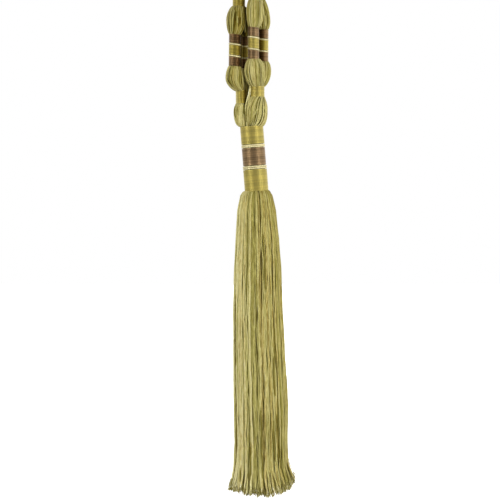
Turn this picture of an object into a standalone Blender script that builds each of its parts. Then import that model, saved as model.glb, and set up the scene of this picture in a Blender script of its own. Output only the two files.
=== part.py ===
"""Tassel tieback: a loop of two yarn skeins, bound with gold, brown and cream thread, and one long tassel.

It hangs by its loop. The origin is where the loop rests on a hook, +Z is up, and it is seen along +Y.
Every size below is in millimetres.
"""

import math
import random
from collections import namedtuple

import bmesh
import bpy
from mathutils import Matrix, Vector

MM = 0.001
SMOOTH_UNDER = math.radians(50)

# Clearances and wound thread
GAP = 0.3
WRAP_WALL = 1.0
WRAP_CLEARANCE = 0.5
BAND_SIDES = 12
BINDING_SIDES = 16
NECK_SIDES = 20

# Skeins
SKEIN_SIDES = 16
SKEIN_STEPS = 3
SWELL = 0.55
CROWDING = 1.6
FLUTE_DEPTH = 0.09
HALF_SPLIT = 0.2

# The top of the loop
BIGHT_RADIUS = 11.4
BIGHT_HALF_WIDTH = 5.9
BIGHT_HALF_DEPTH = 8.0
BIGHT_FOOT = -26.0
BIGHT_STEPS = 9

# The neck, a column that leans to the right as it goes down
NECK_TOP = Vector((1.4, 0.0, -300.0))
NECK_LENGTH = 59.0
NECK_LEAN = math.radians(4.5)
CORE_RADIUS = 8.7
CORE_TOP = 8.0
CORE_PROUD = 0.6

# The skirt's locks: they grow from the cells of a six-sided lattice, which is turned so that no row faces front
LATTICE_SIDES = 6
LATTICE_CUTS = 5
LATTICE_TURN = math.radians(11)
LOCK_INSET = 0.2
LOCK_SIDE = 2.6
LOCK_GROWS_OVER = 12.0
LOCK_LEVELS = (-363.0, -385.0, -440.0, -600.0)
INNER_LOCK_LEVELS = (-363.0, -600.0)
INNER_SHARE = 0.6
SKIRT_DEPTH_SHARE = 0.86
SEED = 5

# How the locks sway together: how far, how often across the skirt, and the height over which it turns
SWAY = 0.7
SWAY_ACROSS = 5.0
SWAY_HEIGHT = 40.0

Shared = namedtuple("Shared", "z x y half_width half_depth bulge")
Free = namedtuple("Free", "z x y half_width half_depth bulge")
Ring = namedtuple("Ring", "z x y half_width front back bulge turn")
Wrap = namedtuple("Wrap", "name thread middle length half_width half_depth sides")
Outline = namedtuple("Outline", "z x half_width")

# From the neck to the top of binding A, where an arm's two skeins lie front and back in one oval
ARM_LOW = {
    "left": (
        Shared(-307.2, -4.2, 0.0, 2.3, 4.9, False),
        Shared(-299.6, -5.0, 0.0, 2.4, 5.2, False),
        Shared(-288.0, -8.5, 4.4, 6.2, 8.2, True),
        Shared(-279.8, -7.9, 1.5, 3.4, 7.0, False),
        Shared(-267.6, -8.1, 1.5, 3.4, 7.0, False),
    ),
    "right": (
        Shared(-307.2, 4.4, 0.0, 5.6, 7.0, False),
        Shared(-299.6, 4.0, 0.0, 5.6, 7.2, False),
        Shared(-286.0, 6.0, -2.6, 9.9, 9.4, True),
        Shared(-273.9, 6.3, -0.8, 5.3, 6.6, False),
        Shared(-264.0, 6.3, -0.8, 5.3, 6.6, False),
    ),
}

# Between bindings A and B each skein runs by itself: a bulge, the banded stretch and another bulge
STRAND = {
    ("left", "front"): (
        Free(-257.0, -13.9, -8.3, 8.1, 8.0, True),
        Free(-246.7, -13.9, -8.0, 3.9, 3.9, False),
        Free(-217.6, -13.5, -8.0, 3.9, 3.9, False),
        Free(-205.5, -13.2, -8.4, 9.1, 8.1, True),
    ),
    ("left", "back"): (
        Free(-260.0, -5.2, 8.4, 7.6, 8.0, True),
        Free(-248.0, -3.8, 8.0, 3.6, 3.6, False),
        Free(-218.9, -3.8, 8.0, 3.6, 3.6, False),
        Free(-206.4, -6.4, 8.4, 7.5, 8.1, True),
    ),
    ("right", "front"): (
        Free(-251.0, 4.1, -8.8, 9.5, 8.4, True),
        Free(-240.4, 3.1, -8.4, 3.6, 3.6, False),
        Free(-211.3, 3.1, -8.4, 3.6, 3.6, False),
        Free(-199.2, 4.3, -8.5, 8.0, 8.2, True),
    ),
    ("right", "back"): (
        Free(-250.0, 11.4, 8.3, 7.8, 8.0, True),
        Free(-241.6, 11.5, 8.0, 3.6, 3.6, False),
        Free(-212.5, 11.7, 8.0, 3.6, 3.6, False),
        Free(-206.0, 10.4, 8.4, 8.3, 8.1, True),
    ),
}

# From the foot of binding B to where the wrap over the hook begins
ARM_HIGH = {
    "left": (
        Shared(-192.9, -10.0, 0.0, 4.2, 6.6, False),
        Shared(-181.0, -10.0, 0.0, 4.2, 6.6, False),
        Shared(-155.0, -9.2, 0.0, 8.6, 10.0, True),
        Shared(-128.0, -9.0, 0.0, 4.2, 6.6, False),
        Shared(-117.0, -9.0, 0.0, 4.2, 6.6, False),
        Shared(-95.0, -9.2, 0.0, 8.4, 9.8, True),
        Shared(-74.0, -9.8, 0.0, 4.2, 6.6, False),
        Shared(-63.0, -10.2, 0.0, 4.2, 6.6, False),
        Shared(-45.0, -12.2, 0.0, 6.6, 8.6, True),
    ),
    "right": (
        Shared(-184.0, 5.6, 0.0, 4.2, 6.6, False),
        Shared(-172.5, 6.2, 0.0, 4.2, 6.6, False),
        Shared(-149.0, 8.9, 0.0, 8.6, 10.0, True),
        Shared(-128.0, 9.0, 0.0, 4.2, 6.6, False),
        Shared(-117.0, 9.0, 0.0, 4.2, 6.6, False),
        Shared(-95.0, 9.2, 0.0, 8.4, 9.8, True),
        Shared(-74.0, 9.8, 0.0, 4.2, 6.6, False),
        Shared(-63.0, 10.2, 0.0, 4.2, 6.6, False),
        Shared(-45.0, 12.2, 0.0, 6.6, 8.6, True),
    ),
}

# A band's five layers of thread, from the top down
BAND = (
    ("brown_upper", "brown", 8.4),
    ("cream_upper", "cream", 1.7),
    ("gold", "gold", 8.9),
    ("cream_lower", "cream", 1.7),
    ("brown_lower", "brown", 8.4),
)
CREAM_PROUD = 0.3

# The neck's five layers, from the top down: thread, length and outer radius
NECK = (
    ("neck_gold_upper", "gold", 16.4, 10.5),
    ("neck_cream_upper", "cream", 3.3, 10.7),
    ("neck_brown", "brown", 16.0, 10.5),
    ("neck_cream_lower", "cream", 3.5, 10.9),
    ("neck_gold_lower", "gold", 19.8, 10.75),
)

# The skirt's outline as seen from the front, from its roots down
SKIRT = (
    Outline(-359.4, 5.7, 12.6),
    Outline(-363.0, 5.5, 14.9),
    Outline(-366.6, 5.6, 15.7),
    Outline(-377.4, 5.9, 17.5),
    Outline(-399.0, 6.3, 19.4),
    Outline(-431.4, 6.8, 21.6),
    Outline(-474.6, 7.0, 22.6),
    Outline(-517.8, 8.2, 23.6),
    Outline(-561.0, 9.4, 24.4),
    Outline(-593.4, 9.9, 24.8),
    Outline(-615.0, 10.6, 27.2),
    Outline(-632.0, 9.2, 28.2),
)

# How low the yarn is cut, from the skirt's left edge to its right edge
HEM = (-626.5, -628.5, -630.2, -630.5, -629.0, -625.5)
HEM_RAGGED = 1.8

COLOURS = {
    "skein_yarn": (0.42, 0.37, 0.14, 1.0),
    "skirt_yarn": (0.46, 0.41, 0.16, 1.0),
    "gold": (0.44, 0.35, 0.10, 1.0),
    "brown": (0.16, 0.09, 0.05, 1.0),
    "cream": (0.80, 0.70, 0.42, 1.0),
}


def material(name):
    """The Principled material of one kind of yarn or thread, made on first use."""
    made = bpy.data.materials.get(name)
    if made is None:
        made = bpy.data.materials.new(name)
        made.use_nodes = True
        shader = made.node_tree.nodes["Principled BSDF"]
        shader.inputs["Base Color"].default_value = COLOURS[name]
        shader.inputs["Roughness"].default_value = 0.5
        shader.inputs["Metallic"].default_value = 0.0
    return made


def add_object(name, work, thread, collection):
    """Turns a bmesh in millimetres into a smooth-shaded object in metres."""
    bmesh.ops.scale(work, vec=(MM, MM, MM), verts=work.verts)
    mesh = bpy.data.meshes.new(name)
    work.to_mesh(mesh)
    work.free()
    mesh.materials.append(material(thread))
    mesh.shade_smooth()
    mesh.set_sharp_from_angle(angle=SMOOTH_UNDER)
    made = bpy.data.objects.new(name, mesh)
    collection.objects.link(made)
    return made


def solidify(made):
    """Gives an open tube the wall of one wound layer, inwards from its outside."""
    wall = made.modifiers.new("Wound layer", "SOLIDIFY")
    wall.thickness = WRAP_WALL * MM
    wall.offset = -1.0
    wall.use_even_offset = True


def mix(low, high, share):
    return low + (high - low) * share


def shared_ring(row, side, turn):
    """The front or back half of the oval that an arm's two skeins fill together."""
    front = row.half_depth if side == "front" else 0.0
    back = row.half_depth - front
    y = row.y + (-HALF_SPLIT if side == "front" else HALF_SPLIT)
    return Ring(row.z, row.x, y, row.half_width, front, back, row.bulge, turn)


def free_ring(row, turn):
    """A skein's own oval where it runs by itself."""
    return Ring(row.z, row.x, row.y, row.half_width, row.half_depth, row.half_depth, row.bulge, turn)


def ring_between(low, high, share):
    """A ring between two rows: it leaves a binding steeply and is round at a bulge.

    The rings crowd towards the binding, where the yarn turns most.
    """
    eased = share
    if high.bulge and not low.bulge:
        share = share**CROWDING
        eased = math.sin(share * math.pi / 2) ** SWELL
    elif low.bulge and not high.bulge:
        share = 1 - (1 - share) ** CROWDING
        eased = 1 - math.cos(share * math.pi / 2) ** SWELL
    z = mix(low.z, high.z, share)
    rest = [mix(a, b, eased) for a, b in zip(low[1:6], high[1:6])]
    return Ring(z, *rest, False, low.turn)


def arm_rings(arm, side):
    """The rings of one skein up one arm, from its end in the neck to the wrap over the hook."""
    turn = 0.0 if arm == "left" else math.pi
    rows = [shared_ring(row, side, turn) for row in ARM_LOW[arm]]
    rows += [free_ring(row, turn) for row in STRAND[arm, side]]
    rows += [shared_ring(row, side, turn) for row in ARM_HIGH[arm]]
    rows.append(bight_ring(0.0 if arm == "left" else 1.0, side)._replace(z=BIGHT_FOOT))
    rings = []
    for low, high in zip(rows, rows[1:]):
        steps = SKEIN_STEPS if low.bulge != high.bulge else 1
        rings += [ring_between(low, high, step / steps) for step in range(steps)]
    return rings + [rows[-1]]


def bight_ring(share, side):
    """A skein's ring on the half circle over the hook, from the left arm at 0 to the right arm at 1."""
    turn = share * math.pi
    x = -BIGHT_RADIUS * math.cos(turn)
    z = BIGHT_HALF_WIDTH - BIGHT_RADIUS + BIGHT_RADIUS * math.sin(turn)
    inner = WRAP_WALL + WRAP_CLEARANCE
    row = Shared(z, x, 0.0, BIGHT_HALF_WIDTH - inner, BIGHT_HALF_DEPTH - inner, False)
    return shared_ring(row, side, turn)


def ring_points(ring, sides, flute):
    """Points round a ring, anticlockwise as seen along its path, every other one drawn in as a flute."""
    across = Vector((math.cos(ring.turn), 0.0, -math.sin(ring.turn)))
    middle = Vector((ring.x, ring.y, ring.z))
    points = []
    for index in range(sides):
        angle = 2 * math.pi * index / sides
        drawn_in = 1 - flute * (index % 2)
        reach = ring.back if math.sin(angle) > 0 else ring.front
        deep = reach * math.sin(angle) * drawn_in
        wide = ring.half_width * math.cos(angle) * drawn_in
        points.append(middle + across * wide + Vector((0.0, deep, 0.0)))
    return points


def loft(work, rings, sides, flute=0.0, capped=True):
    """Joins the rings, in order, into one tube of quads."""
    loops = [[work.verts.new(p) for p in ring_points(ring, sides, flute)] for ring in rings]
    for low, high in zip(loops, loops[1:]):
        for index in range(sides):
            after = (index + 1) % sides
            work.faces.new((low[index], low[after], high[after], high[index]))
    if capped:
        work.faces.new(list(reversed(loops[0])))
        work.faces.new(loops[-1])


def make_skein(side, collection):
    """One skein: out of the neck, up the left arm, over the hook and down the right arm."""
    rings = arm_rings("left", side)
    rings += [bight_ring(step / BIGHT_STEPS, side) for step in range(BIGHT_STEPS + 1)]
    rings += reversed(arm_rings("right", side))
    work = bmesh.new()
    loft(work, rings, SKEIN_SIDES, FLUTE_DEPTH)
    add_object("skein_" + side, work, "skein_yarn", collection)


def make_wrap(wrap, collection, lean=0.0):
    """A straight stretch of wound thread: an open oval tube with the wall of one layer."""
    work = bmesh.new()
    bmesh.ops.create_cone(
        work, cap_ends=False, segments=wrap.sides, radius1=1.0, radius2=1.0, depth=wrap.length - GAP
    )
    bmesh.ops.scale(work, vec=(wrap.half_width, wrap.half_depth, 1.0), verts=work.verts)
    made = add_object(wrap.name, work, wrap.thread, collection)
    made.location = wrap.middle * MM
    made.rotation_euler = (0.0, lean, 0.0)
    solidify(made)


def neck_point(down):
    """The point of the neck's axis this far below its top."""
    return NECK_TOP + down * Vector((math.sin(NECK_LEAN), 0.0, -math.cos(NECK_LEAN)))


def make_neck(collection):
    """The five wound layers of the neck, stacked along its leaning axis."""
    down = 0.0
    for name, thread, length, radius in NECK:
        middle = neck_point(down + length / 2)
        wrap = Wrap(name, thread, middle, length, radius, radius, NECK_SIDES)
        make_wrap(wrap, collection, -NECK_LEAN)
        down += length


def make_bands(collection):
    """The five wound layers on each of the four strands."""
    for (arm, side), rows in STRAND.items():
        foot, top = rows[1], rows[2]
        outside = foot.half_width + WRAP_WALL + WRAP_CLEARANCE
        lean = math.atan2(top.x - foot.x, top.z - foot.z)
        down = 0.0
        for layer, thread, length in BAND:
            radius = outside + (CREAM_PROUD if thread == "cream" else 0.0)
            share = (down + length / 2) / (top.z - foot.z)
            middle = Vector((mix(top.x, foot.x, share), foot.y, mix(top.z, foot.z, share)))
            name = f"band_{arm}_{side}_{layer}"
            make_wrap(Wrap(name, thread, middle, length, radius, radius, BAND_SIDES), collection, lean)
            down += length


def make_bindings(collection):
    """The gold bindings that hold an arm's two skeins together, one for each pair of bound rows."""
    for arm in ("left", "right"):
        bound = [row for row in ARM_LOW[arm][2:] + ARM_HIGH[arm] if not row.bulge]
        for letter, foot, top in zip("abcd", bound[0::2], bound[1::2]):
            middle = Vector(((foot.x + top.x) / 2, (foot.y + top.y) / 2, (foot.z + top.z) / 2))
            lean = math.atan2(top.x - foot.x, top.z - foot.z)
            outside = WRAP_WALL + WRAP_CLEARANCE
            wrap = Wrap(
                f"binding_{letter}_{arm}",
                "gold",
                middle,
                top.z - foot.z,
                foot.half_width + outside,
                foot.half_depth + outside,
                BINDING_SIDES,
            )
            make_wrap(wrap, collection, lean)


def make_bight_wrap(collection):
    """The gold thread wound round the loop where it goes over the hook."""
    rings = []
    for step in range(BIGHT_STEPS + 1):
        turn = math.pi * step / BIGHT_STEPS
        x = -BIGHT_RADIUS * math.cos(turn)
        z = BIGHT_HALF_WIDTH - BIGHT_RADIUS + BIGHT_RADIUS * math.sin(turn)
        depth = BIGHT_HALF_DEPTH
        rings.append(Ring(z, x, 0.0, BIGHT_HALF_WIDTH, depth, depth, False, turn))
    rings.insert(0, rings[0]._replace(z=BIGHT_FOOT + GAP))
    rings.append(rings[-1]._replace(z=BIGHT_FOOT + GAP))
    work = bmesh.new()
    loft(work, rings, BINDING_SIDES, capped=False)
    solidify(add_object("bight_wrap", work, "gold", collection))


def skirt_row(z):
    """The skirt's middle and half width at this height."""
    for above, below in zip(SKIRT, SKIRT[1:]):
        if z >= below.z:
            share = (above.z - z) / (above.z - below.z)
            return mix(above.x, below.x, share), mix(above.half_width, below.half_width, share)
    return SKIRT[-1].x, SKIRT[-1].half_width


def hem_height(across):
    """Where the yarn is cut, for a place from -1 at the skirt's left edge to 1 at its right."""
    place = (across + 1) / 2 * (len(HEM) - 1)
    first = min(int(place), len(HEM) - 2)
    return mix(HEM[first], HEM[first + 1], place - first)


def round_out(point):
    """Moves a point of a lattice with corners at radius 1 so that its outline becomes a circle."""
    facings = [2 * math.pi * k / LATTICE_SIDES for k in range(LATTICE_SIDES)]
    out = max(point.x * math.cos(a) + point.y * math.sin(a) for a in facings)
    return point.normalized() * out / math.cos(math.pi / LATTICE_SIDES)


def make_core(work):
    """The core of bound yarn in the neck. It returns the cells of its underside, one for each lock."""
    bmesh.ops.create_circle(work, cap_ends=True, cap_tris=True, segments=LATTICE_SIDES, radius=1.0)
    bmesh.ops.subdivide_edges(work, edges=work.edges, cuts=LATTICE_CUTS, use_grid_fill=True)
    cells = list(work.faces)
    lattice = Matrix.Rotation(LATTICE_TURN, 3, "Z")
    for vert in work.verts:
        vert.co = lattice @ round_out(vert.co) * CORE_RADIUS
    rim = [edge for edge in work.edges if edge.is_boundary]
    raised = bmesh.ops.extrude_edge_only(work, edges=rim)["geom"]
    height = NECK_LENGTH - CORE_TOP + CORE_PROUD
    top = [item for item in raised if isinstance(item, bmesh.types.BMVert)]
    bmesh.ops.translate(work, vec=(0.0, 0.0, height), verts=top)
    top_rim = [item for item in raised if isinstance(item, bmesh.types.BMEdge) and item.is_boundary]
    bmesh.ops.contextual_create(work, geom=top_rim)
    bmesh.ops.recalc_face_normals(work, faces=work.faces)
    bmesh.ops.inset_individual(work, faces=cells, thickness=LOCK_INSET)
    return cells


def grow_lock(work, root, reach, chance):
    """Draws one lock down from its root face, spreading with the skirt, a little uneven."""
    middle = root.calc_center_median()
    corners = [vert.co - middle for vert in root.verts]
    root_side = root.edges[0].calc_length()
    place = middle / reach
    bottom = hem_height(place.x) + chance.uniform(-HEM_RAGGED, HEM_RAGGED)
    levels = LOCK_LEVELS if place.length > INNER_SHARE else INNER_LOCK_LEVELS
    face = root
    for z in levels + (bottom,):
        x, half_width = skirt_row(z)
        side = mix(root_side, LOCK_SIDE, min(1.0, (half_width - CORE_RADIUS) / LOCK_GROWS_OVER))
        spread = half_width - side / 2
        phase = place * SWAY_ACROSS + Vector((1.0, 1.0, 0.0)) * z / SWAY_HEIGHT
        sway = Vector((math.sin(phase.x), math.cos(phase.y), 0.0)) * SWAY
        target = Vector((x + place.x * spread, place.y * spread * SKIRT_DEPTH_SHARE, z)) + sway
        face = bmesh.ops.extrude_discrete_faces(work, faces=[face])["faces"][0]
        for vert, corner in zip(face.verts, corners):
            vert.co = target + corner * (side / root_side)


def make_skirt(collection):
    """The tassel's skirt: locks of yarn that hang free, fused at their roots into the core."""
    work = bmesh.new()
    roots = make_core(work)
    core_verts = list(work.verts)
    reach = max(root.calc_center_median().length for root in roots)
    chance = random.Random(SEED)
    for root in roots:
        grow_lock(work, root, reach, chance)
    foot = neck_point(NECK_LENGTH + CORE_PROUD)
    lean = Matrix.Rotation(-NECK_LEAN, 4, "Y")
    bmesh.ops.transform(work, matrix=Matrix.Translation(foot) @ lean, verts=core_verts)
    add_object("skirt", work, "skirt_yarn", collection)


def main():
    for old in list(bpy.data.objects):
        bpy.data.objects.remove(old, do_unlink=True)
    collection = bpy.data.collections.new("tassel_tieback")
    bpy.context.scene.collection.children.link(collection)
    make_skirt(collection)
    make_neck(collection)
    for side in ("front", "back"):
        make_skein(side, collection)
    make_bands(collection)
    make_bindings(collection)
    make_bight_wrap(collection)


main()
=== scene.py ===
"""Tassel tieback: yarn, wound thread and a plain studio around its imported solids.

It hangs by its loop, whose inside top is the origin. +Z is up, and the photograph looks along +Y.
Sizes in the tables are in millimetres, and in Blender they are metres.
"""

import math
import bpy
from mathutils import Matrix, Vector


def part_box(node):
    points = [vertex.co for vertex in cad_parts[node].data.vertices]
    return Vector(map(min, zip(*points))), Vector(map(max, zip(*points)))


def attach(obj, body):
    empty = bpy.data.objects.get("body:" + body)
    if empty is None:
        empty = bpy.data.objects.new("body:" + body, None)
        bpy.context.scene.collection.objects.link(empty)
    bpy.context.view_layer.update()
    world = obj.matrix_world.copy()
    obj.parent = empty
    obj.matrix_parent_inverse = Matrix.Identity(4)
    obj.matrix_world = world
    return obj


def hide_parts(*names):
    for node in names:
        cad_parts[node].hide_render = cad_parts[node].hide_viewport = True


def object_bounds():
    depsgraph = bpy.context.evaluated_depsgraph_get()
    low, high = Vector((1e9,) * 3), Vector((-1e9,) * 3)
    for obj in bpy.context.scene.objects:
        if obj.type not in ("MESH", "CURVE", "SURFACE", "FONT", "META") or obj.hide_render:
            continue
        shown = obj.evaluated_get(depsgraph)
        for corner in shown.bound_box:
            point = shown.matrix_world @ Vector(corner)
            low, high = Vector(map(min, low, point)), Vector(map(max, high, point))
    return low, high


bl_info = {
    "name": "Tassel tieback",
    "version": (1, 0, 0),
    "blender": (4, 5, 0),
    "location": "3D View > Sidebar > Tieback",
    "description": "Yarn, wound thread and a plain studio for a tassel tieback",
    "category": "Object",
}

from collections import namedtuple
from functools import partial

import bpy
from bpy.props import FloatProperty, FloatVectorProperty, IntProperty, PointerProperty
from mathutils import Vector

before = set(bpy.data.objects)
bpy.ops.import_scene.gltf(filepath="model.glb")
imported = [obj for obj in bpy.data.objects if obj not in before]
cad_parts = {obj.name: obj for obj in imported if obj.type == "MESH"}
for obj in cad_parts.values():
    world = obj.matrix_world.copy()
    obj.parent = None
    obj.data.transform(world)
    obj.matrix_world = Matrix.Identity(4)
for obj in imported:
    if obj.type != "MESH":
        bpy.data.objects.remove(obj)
CAD_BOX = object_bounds()

MM = 0.001
TURN = 2 * math.pi
BODY = "root"
DEPTH_AXIS = (0.0, 1.0, 0.0)

# The photograph's frame: its width on the object and the height of its centre
PHOTO_WIDTH = 450.0
PHOTO_CENTRE = -411.6

# A row of a skein. With no rise it is a bulge. Any other is bound, and its rise is the power by which the
# yarn swells out of the binding. Stations are the points of a bundle's guide, closer together than the rows
# A row's dark is how much darker its yarn is painted: painted shade on bulbs that lie in shade, such as the
# back ones and those of the left arm, painted light where it is below 0, and some tone that differs from bulb
# to bulb
Row = namedtuple("Row", "z x y half_width half_depth rise lay dark", defaults=(0, 0, 0))
Station = namedtuple("Station", "point across wide front back squeeze down lay dark", defaults=(0, 0, 0))

# How stations crowd towards a binding, how many a bulge has, and how far the two skeins of an arm lie apart
CROWDING = 1.9
BULGE_STEPS = 9
HALF_SPLIT = 0.2

# How far the yarn fills out its wrap, and how far inside the wrap's end it begins to swell
UNDER_WRAP = 0.5
EMERGE = 0.9

# From the neck to the top of binding A, where an arm's two skeins lie front and back in one oval
ARM_LOW = {
    "left": (
        Row(-307.2, -4.2, 0, 2.3, 4.9, 0.3, -1),
        Row(-299.6, -5, 0, 2.4, 5.2, 0.3, -1),
        Row(-288, -8.2, 2.4, 6.6, 8.4, 0, -0.5, -0.06),
        Row(-279.8, -7.9, 1.5, 3.4, 7, 0.55),
        Row(-267.6, -8.1, 1.5, 3.4, 7, 0.55),
    ),
    "right": (
        Row(-307.2, 4.4, 0, 5.6, 7, 0.3, 1.3),
        Row(-299.6, 4, 0, 5.6, 7.2, 0.3, 1.3),
        Row(-286, 6, -2.6, 9.9, 9.4, 0, 0.65, 0.05),
        Row(-273.9, 6.3, -0.8, 5.3, 6.6, 0.55),
        Row(-264, 6.3, -0.8, 5.3, 6.6, 0.55),
    ),
}

# Between bindings A and B each skein runs by itself: a bulge, the banded stretch and another bulge
STRAND = {
    ("left", "front"): (
        Row(-257, -13.9, -8.3, 8.1, 8, 0, -0.2, 0.6),
        Row(-246.7, -13.9, -8, 3.9, 3.9, 0.55),
        Row(-217.6, -13.5, -8, 3.9, 3.9, 0.55, 0, 0.6),
        Row(-205.5, -12.8, -8.4, 8.6, 8.1, 0, 0.3, 1.6),
    ),
    ("left", "back"): (
        Row(-260, -5, 7.6, 7.8, 8, 0, 0, -0.2),
        Row(-248, -3.8, 8, 3.6, 3.6, 0.55),
        Row(-218.9, -3.8, 8, 3.6, 3.6, 0.55),
        Row(-206.4, -6.4, 8.4, 7.5, 8.1, 0, 0, 4.2),
    ),
    ("right", "front"): (
        Row(-251, 4.1, -8.8, 9.5, 8.4, 0, 0, 0.1),
        Row(-240.4, 3.1, -8.4, 3.6, 3.6, 0.55),
        Row(-211.3, 3.1, -8.4, 3.6, 3.6, 0.55),
        Row(-199.2, 4.3, -8.5, 8, 8.2, 0, 0, 0.3),
    ),
    ("right", "back"): (
        Row(-250, 11.4, 8.3, 7.8, 8, 0, 0, 0.1),
        Row(-241.6, 11.5, 8, 3.6, 3.6, 0.55),
        Row(-212.5, 11.7, 8, 3.6, 3.6, 0.55),
        Row(-206, 10.3, 8.4, 8.1, 8.1, 0, 0, 0.6),
    ),
}

# From the foot of binding B to where the wrap over the hook begins. The last rows are alike on both arms
HIGHEST = (
    Row(-128, 9, 0, 4.2, 6.6, 0.55),
    Row(-117, 9, 0, 4.2, 6.6, 0.55),
    Row(-95, 9.2, 0, 8.4, 9.8),
    Row(-74, 9.8, 0, 4.2, 6.6, 0.55),
    Row(-63, 10.2, 0, 4.2, 6.6, 0.55),
    Row(-45, 12.2, 0, 6.6, 8.6),
)
ARM_HIGH = {
    "left": (
        Row(-192.9, -10, 0, 4.2, 6.6, 0.55),
        Row(-181, -10, 0, 4.2, 6.6, 0.55),
        Row(-155, -9.2, 0, 8.6, 10),
        *(row._replace(x=-row.x) for row in HIGHEST),
    ),
    "right": (
        Row(-184, 5.6, 0, 4.2, 6.6, 0.55),
        Row(-172.5, 6.2, 0, 4.2, 6.6, 0.55),
        Row(-149, 8.9, 0, 8.6, 10),
        *HIGHEST,
    ),
}

# The wrap over the hook: its steps, its wall, and the power by which the yarn leaves it
BIGHT_STEPS = 12
BIGHT_WALL = 1.5
BIGHT_RISE = 0.55

# Slack yarns that missed binding A, between the two arms: each bunch's yarns, how thick they are and its rows
Bunch = namedtuple("Bunch", "name yarns thickness rows")
SLACK_STEPS = 6
SLACK = (
    # Each row's last value is how much darker its yarn is painted. The left bunch is painted near black: a
    # painted shade in the gap between the left arm's front and back skeins
    Bunch("left", 5, 1.4, (
        (-198, -8.6, 1.6, 1, 1.4, 0, 0, 4.2), (-212, -8.4, 2.2, 1, 1.4, 0, 0, 4.2),
        (-232, -8.5, 2.4, 1, 1.4, 0, 0, 4.2), (-250, -8.6, 2.2, 1, 1.4, 0, 0, 4.2),
        (-262, -8.6, 1.6, 1, 1.4, 0, 0, 4.2),
    )),
    Bunch("between", 16, 1.6, (
        (-249, -5, 2.4, 2, 2.6, 0, 0, 0.5), (-259, -4.6, 0.6, 2.2, 2.4, 0, 0.2, 0),
        (-268, -3.6, 1.4, 2.6, 2.2, 0, 0.5, 0.1), (-279, -3, 2.4, 2.6, 2.2, 0, 0.8, 0.3),
        (-290, -2.8, 0.8, 2.8, 2.8, 0, 1.1, 0.2), (-297, -2.2, -2.4, 2.8, 3.2, 0, 0.9, 0.1),
        (-304, -1.6, -4, 2.8, 3.2, 0, 0.9, 0.1),
    )),
    Bunch("strand", 6, 1.4, (
        (-258, 1, -7, 1.2, 1, 0, 0, 0.5), (-263, 0.4, -6.4, 1.2, 1, 0, 0.5, 0.4),
        (-267.6, -0.2, -6, 1.5, 1, 0, 1, -0.4), (-272.1, -0.8, -5.8, 1.7, 1, 0, 1.5, -0.4),
        (-277.5, -2, -6, 1.9, 1, 0, 2, -0.2), (-282.9, -2.9, -6.4, 2, 1, 0, 2.4, -0.1),
        (-288.3, -3, -6.2, 2, 1, 0, 2.8, 0.2), (-294.6, -2.2, -5.2, 1.8, 1, 0, 3.2, 0.3),
        (-301, -0.8, -3.6, 1.5, 1, 0, 3.5, 0.3),
    )),
)

# The skirt's outline as seen from the front: height, middle and half width. Its roots lie inside the neck
SKIRT = (
    (-305, 1.8, 9.2), (-353, 5.5, 9.2), (-357.6, 5.9, 9.6), (-359.4, 5.7, 12.6), (-363, 5.7, 14.7),
    (-366.6, 5.8, 15.3), (-377.4, 5.9, 17.5), (-399, 6.5, 19.2), (-431.4, 6.9, 21.3), (-474.6, 7.1, 22.5),
    (-517.8, 8.4, 23.5), (-561, 9.9, 24.7), (-593.4, 9.9, 24.1), (-615, 9.8, 24.9), (-621, 10.2, 26.2),
    (-630.2, 10.9, 29),
)
SKIRT_HEAD = -355.0
SKIRT_DEPTH_SHARE = 0.86
ROOT_HALF_WIDTH = 9.6
SPREAD_OVER = 6.0
NECK_LEAN = math.radians(4.5)

# How far apart the skirt's stations are, in the layers that show and in the hidden ones
SKIRT_STEP = 5.0
HIDDEN_STEP = 11.0
HIDDEN = ("third", "heart")

# The layers from the outside in: yarns, reach, how deep some sink, thickness, stray, sides and shade. The
# shade is painted shade: the inner layers are darker, as the gaps between the outer yarns are in shade
Layer = namedtuple("Layer", "name yarns reach sink thickness stray sides shade")
SKIRT_LAYERS = (
    Layer("face", 100, 1.0, 1.6, 1.9, 1.0, 6, 0.0),
    Layer("loose", 44, 1.01, 0.4, 1.2, 2.2, 5, 0.0),
    Layer("second", 84, 0.94, 1.8, 2.0, 1.0, 5, 0.3),
    Layer("third", 60, 0.84, 2.0, 1.9, 1.0, 5, 0.8),
    Layer("heart", 128, 0.7, 14.0, 2.0, 1.0, 5, 0.8),
)
SKEIN_LAYERS = (
    Layer("face", 60, 1.0, 0.6, 1.2, 1.0, 5, 0.0),
    Layer("loose", 14, 1.02, 0.3, 1.1, 2.0, 5, 0.0),
    Layer("inside", 24, 0.87, 0.6, 2.2, 1.0, 4, 0.9),
)
SLACK_LAYER = Layer("slack", 0, 1.0, 0.8, 0, 0.5, 6, 0.0)
SINGLE_LAYER = Layer("single", 1, 1.0, 0.0, 0, 0.3, 6, 0.0)
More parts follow.
